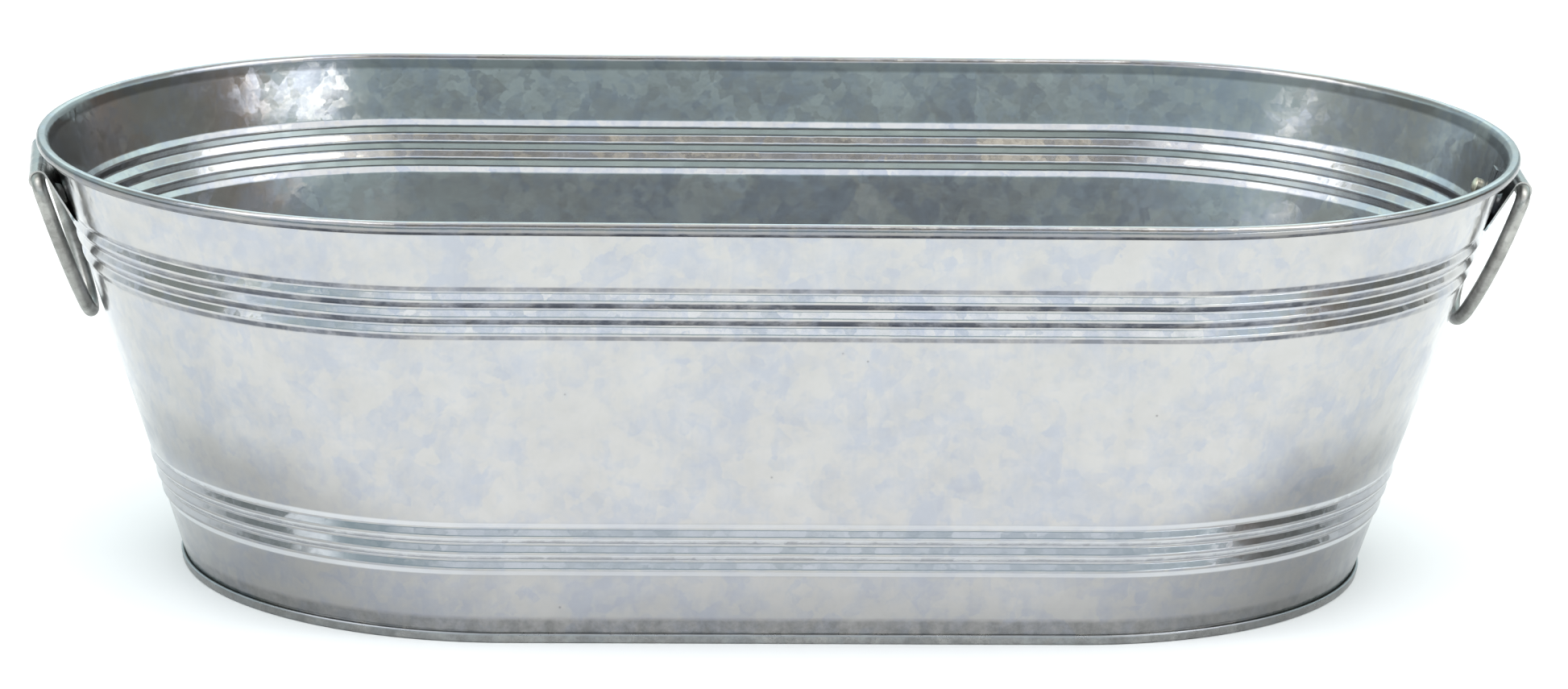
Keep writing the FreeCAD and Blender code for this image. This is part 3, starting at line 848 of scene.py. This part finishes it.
def painted_light_and_seam(n, colour, x, z, height):
    """Painted shade, painted reflections and a painted highlight that follow the beads
    and the roll, and a darker mottled band along the seam.

    The height is exact, and z is the same height made to waver, so that the
    edges of most of these bands are ragged.
    """
    up, outside = n.facing()
    inside = n.maths("SUBTRACT", 1.0, outside)
    below = n.times(n.remap(up, -0.27, -0.47, 0.0, 1.0), outside)
    ends = n.maths("ABSOLUTE", x, 0.0)
    # painted shade: the down-facing flanks outside, under the upper beads and the roll,
    # are darkened to stand in for a dark reflection, weaker at the ends
    underside_shade = n.remap(n.noise(60.0, 5.0, 0.7), 0.40, 0.58, 0.38, 0.86)
    underside_shade = n.times(underside_shade, n.remap(z, 0.06, 0.10, 0.0, 1.0))
    underside_shade = n.times(underside_shade, n.remap(ends, 0.20, 0.28, 1.0, 0.4))
    colour = n.mix(n.times(below, underside_shade), colour, UNDERSIDE_SHADE)
    # painted reflection: the down-facing flanks of the lower beads are lightened, as if
    # they catch the light off the floor
    lower_flank_sheen = n.times(n.remap(z, 0.012, 0.018, 0.0, 0.72),
                     n.remap(z, 0.055, 0.065, 1.0, 0.0))
    colour = n.mix(n.times(below, lower_flank_sheen), colour, LOWER_FLANK_SHEEN)
    # a darker, mottled band along the outside of the seam
    seam = n.times(n.remap(height, 0.009, 0.011, 1.0, 0.0), outside)
    seam_mottle = n.remap(n.noise(140.0, 6.0, 0.72), 0.36, 0.64, 0.35, 0.78)
    colour = n.mix(n.times(seam, seam_mottle), colour, SEAM_DARK)
    # painted shade: the up-facing outside flanks of the lower beads are darkened to dim
    # their reflection
    low_upfacing_shade = n.times(n.remap(up, 0.0, 0.2, 0.0, 1.0), outside)
    low_upfacing_shade = n.times(low_upfacing_shade, n.remap(z, 0.055, 0.065, 0.8, 0.0))
    colour = n.mix(low_upfacing_shade, colour, LOW_UPFACING_SHADE)
    # painted reflection: down-facing surfaces inside are lightened towards a pale blue
    inside_sheen = n.times(n.remap(up, -0.20, -0.33, 0.0, 0.8), inside)
    colour = n.mix(inside_sheen, colour, INSIDE_SHEEN)
    # painted shade and painted highlight on the roll: darker except where it faces nearly
    # straight up, which is brightened, and darker still at the ends
    roll = n.remap(height, 0.1725, 0.1737, 0.0, 1.0)
    roll_shade_and_highlight = n.times(n.remap(up, 0.84, 0.93, 0.62, 1.55),
                   n.remap(ends, 0.23, 0.30, 1.0, 0.72))
    return n.mix(roll, colour, n.mix(1.0, colour, n.grey(roll_shade_and_highlight), "MULTIPLY"))


def galvanised(name, cool, warm, rough):
    """Hot dipped zinc: feathered crystals, cream and blue clouds, streaks and specks."""
    n = Metal(name)
    large = n.crystals(62.0, n.wander(60.0, 6.0, 4.0))
    small = n.crystals(210.0, n.wander(230.0, 2.6, 5.0))
    cloud = n.noise(26.0, 5.0, 0.62, 0.5)
    patch = n.noise(95.0, 6.0, 0.66, 0.9)
    grain = n.noise(2300.0, 2.0, 0.6)
    field = zinc_field(n, large, small, cloud, patch)
    middle = tuple((a + b) / 2 for a, b in zip(cool, warm))
    colour = n.ramp(field, [(0.43, cool), (0.50, middle), (0.57, warm)])
    x, _, height = n.parts(n.place)
    waver = n.remap(n.noise(30.0, 4.0, 0.7), 0.3, 0.7, -0.005, 0.005)
    z = n.plus(height, waver)
    # then painted shade, painted reflections, a painted highlight on the roll and a
    # darker seam band
    colour = painted_light_and_seam(n, shaded(n, colour, x, z), x, z, height)
    speck = n.remap(n.cells(85.0, "Distance"), 0.02, 0.06, 0.5, 0.0)
    gate = n.remap(n.noise(24.0, 2.0, 0.55), 0.56, 0.60, 0.0, 1.0)
    colour = n.mix(n.times(speck, gate), colour, tuple(SPECK * c for c in middle))
    level = n.remap(field, 0.36, 0.64, rough + 0.05, rough - 0.04)
    level = n.plus(level, n.remap(grain, 0.3, 0.7, -0.02, 0.02))
    normal = n.tilted((large, CRYSTAL_TILT), (small, CRYSTAL_TILT))
    normal = n.bump(n.noise(70.0, 3.0, 0.5), 0.16, normal)
    normal = n.bump(patch, 0.03, normal)
    normal = n.bump(grain, 0.0015, normal)
    return n.finish(colour, level, normal)


def dull_zinc(name, tint, rough):
    """Older, duller zinc on wire and rivets: smudged, with grime in patches."""
    n = Metal(name)
    cloud = n.noise(90.0, 5.0, 0.65, 0.5)
    fine = n.noise(700.0, 4.0, 0.7)
    dirt = n.remap(n.noise(210.0, 6.0, 0.7), 0.48, 0.68, 0.0, 0.55)
    dark, grimy = (tuple(share * c for c in tint) for share in (0.72, 0.42))
    pale = tuple(min(1.0, 1.25 * c) for c in tint)
    colour = n.ramp(cloud, [(0.35, dark), (0.52, tint), (0.68, pale)])
    colour = n.mix(dirt, colour, grimy)
    level = n.remap(cloud, 0.3, 0.7, rough + 0.1, rough - 0.06)
    level = n.plus(level, n.remap(fine, 0.3, 0.7, -0.05, 0.05))
    normal = n.bump(cloud, 0.04)
    normal = n.bump(fine, 0.008, normal)
    return n.finish(colour, level, normal)


# ---- the stage -------------------------------------------------------------
def make_floor():
    """Matt floor. It ends a few metres behind the camera, so that the outside of the
    front wall mirrors the studio and not a far white floor."""
    mesh = bpy.data.meshes.new("floor")
    side, near, far = 6.0, -4.5, 14.0
    corners = [(-side, near, 0), (side, near, 0), (side, far, 0), (-side, far, 0)]
    mesh.from_pydata(corners, [], [(0, 1, 2, 3)])
    floor = bpy.data.objects.new("floor", mesh)
    bpy.context.scene.collection.objects.link(floor)
    paint = bpy.data.materials.new("floor_paint")
    paint.use_nodes = True
    shader = paint.node_tree.nodes["Principled BSDF"]
    shader.inputs["Base Color"].default_value = (0.93, 0.93, 0.93, 1)
    shader.inputs["Roughness"].default_value = 0.9
    shader.inputs["Specular IOR Level"].default_value = 0.0
    mesh.materials.append(paint)


def make_world():
    """Studio round the trough.

    In front it is teal at the horizon and bright above, and behind a softer teal.
    A dark patch of ceiling hangs over the camera with cream light to its right,
    and low down at the sides are a brown and two grey patches.
    """
    world = bpy.data.worlds.new("studio")
    world.use_nodes = True
    bpy.context.scene.world = world
    n = Nodes(world.node_tree, "Generated")
    x, y, z = n.parts(n.place)
    front = n.ramp(z, [(0.0, (0.50, 0.63, 0.66)), (0.27, (0.56, 0.73, 0.77)),
                       (0.38, (0.95, 1.08, 1.13)), (0.46, (1.62, 1.72, 1.82)),
                       (0.60, (1.62, 1.70, 1.78)), (0.72, (1.32, 1.36, 1.38))])
    back = n.ramp(z, [(0.0, (0.60, 0.74, 0.76)), (0.25, (0.74, 0.91, 0.93)),
                      (0.42, (1.32, 1.70, 1.74)), (0.60, (0.90, 1.02, 1.00)),
                      (0.75, (0.72, 0.78, 0.74)), (0.90, (1.05, 1.08, 1.02)),
                      (0.97, (1.32, 1.36, 1.38))])
    sky = n.mix(n.remap(y, -0.1, 0.15, 0.0, 1.0), front, back)
    smudge = n.remap(n.noise(9.0, 4.0, 0.6), 0.3, 0.7, -0.07, 0.07)
    ragged_x = n.plus(x, smudge)
    off_middle = n.plus(n.maths("ABSOLUTE", n.plus(x, -0.02), 0.0), smudge)
    dark = n.times(n.remap(off_middle, 0.07, 0.17, 1.0, 0.0),
                   n.remap(n.plus(y, smudge), -0.24, -0.14, 1.0, 0.0))
    dark = n.times(dark, n.remap(z, 0.64, 0.74, 0.0, 1.0))
    sky = n.mix(dark, sky, (0.22, 0.23, 0.24))
    cream = n.times(n.remap(ragged_x, 0.06, 0.12, 0.0, 1.0),
                    n.remap(y, -0.30, -0.40, 0.0, 1.0))
    cream = n.times(cream, n.remap(z, 0.70, 0.76, 0.0, 1.0))
    sky = n.mix(n.times(cream, 0.7), sky, (1.25, 1.16, 0.92))
    low = n.remap(z, 0.34, 0.22, 0.0, 1.0)
    for start, end, tint in ((0.72, 0.80, (0.32, 0.25, 0.205)),
                             (0.87, 0.95, (0.22, 0.235, 0.22)),
                             (-0.80, -0.95, (0.38, 0.43, 0.42))):
        side = n.remap(ragged_x, start, end, 0.0, 1.0)
        sky = n.mix(n.times(side, low), sky, tint)
    background = n.tree.nodes.new("ShaderNodeBackground")
    output = n.tree.nodes.new("ShaderNodeOutputWorld")
    n.link(sky, background.inputs["Color"])
    n.link(background.outputs[0], output.inputs["Surface"])


def area_light(name, place, aim, size, power):
    data = bpy.data.lights.new(name, "AREA")
    data.shape = "RECTANGLE"
    data.size, data.size_y = size
    data.energy = power
    light = bpy.data.objects.new(name, data)
    bpy.context.scene.collection.objects.link(light)
    light.location = place
    light.rotation_mode = "QUATERNION"
    light.rotation_quaternion = (Vector(aim) - Vector(place)).to_track_quat("-Z", "Y")
    light.visible_camera = False


def make_camera():
    """A long lens looking down at the front, a little from the left.

    The distance and shifts are millimetres, the angles radians.
    """
    distance, pitch, roll, yaw = 3528.7, 0.254, -0.024, 0.071
    shift_u, shift_v = -5.403, -87.81
    u = np.array([math.cos(yaw), -math.sin(yaw), 0.0])
    v = np.array([math.sin(pitch) * math.sin(yaw), math.sin(pitch) * math.cos(yaw),
                  math.cos(pitch)])
    forward = np.array([math.cos(pitch) * math.sin(yaw), math.cos(pitch) * math.cos(yaw),
                        -math.sin(pitch)])
    right = math.cos(roll) * u - math.sin(roll) * v
    up = math.sin(roll) * u + math.cos(roll) * v
    spot = (-shift_u * right - shift_v * up - distance * forward) * MM
    data = bpy.data.cameras.new("camera")
    data.sensor_width = 36.0
    data.lens = 194.8
    data.clip_end = 200.0
    camera = bpy.data.objects.new("camera", data)
    matrix = Matrix.Identity(4)
    for i in range(3):
        matrix[i][0], matrix[i][1], matrix[i][2] = right[i], up[i], -forward[i]
        matrix[i][3] = spot[i]
    camera.matrix_world = matrix
    bpy.context.scene.collection.objects.link(camera)
    bpy.context.scene.camera = camera


# ---- build it --------------------------------------------------------------
sheet = galvanised("galvanised_sheet", (0.428, 0.442, 0.485), (0.503, 0.492, 0.482), 0.20)
bottom = galvanised("dull_bottom_sheet", (0.50, 0.53, 0.54), (0.58, 0.58, 0.56), 0.30)
wire = dull_zinc("handle_zinc", (0.36, 0.355, 0.335), 0.38)
core = dull_zinc("rim_core_steel", (0.30, 0.30, 0.30), 0.5)
lug = galvanised("lug_zinc", (0.38, 0.40, 0.42), (0.48, 0.47, 0.45), 0.30)
rivet = dull_zinc("rivet_tin", (0.62, 0.58, 0.46), 0.3)

make_wall("front_wall_sheet", "wall_front", False, sheet)
make_wall("back_wall_sheet", "wall_back", True, sheet)
make_bottom(bottom)
make_rim_wire(core)
make_handle("right_drop_handle", "handle_right", "right_handle", False, wire)
make_handle("left_drop_handle", "handle_left", "left_handle", True, wire)
make_lug("right_lug_plate", "lug_right", False, lug)
make_lug("left_lug_plate", "lug_left", True, lug)
make_rivet("right_front_rivet", "rivet_right_front", -1, False, rivet)
make_rivet("right_back_rivet", "rivet_right_back", 1, False, rivet)
make_rivet("left_front_rivet", "rivet_left_front", 1, True, rivet)
make_rivet("left_back_rivet", "rivet_left_back", -1, True, rivet)

make_floor()
make_world()
area_light("right_sky", (1.15, -0.2, 2.2), (0.3, 0, 0), (1.3, 1.7), 20.0)
area_light("left_sky", (-1.15, -0.2, 2.2), (-0.3, 0, 0), (1.3, 1.7), 19.0)
area_light("right_low", (1.5, -1.9, 0.34), (-0.1, 0, 0.15), (1.5, 0.34), 6.0)
area_light("left_low", (-2.0, -1.2, 0.42), (0.1, 0, 0.15), (0.7, 0.3), 1.2)
make_camera()
bpy.context.scene.view_settings.view_transform = "Standard"

bpy.context.view_layer.update()
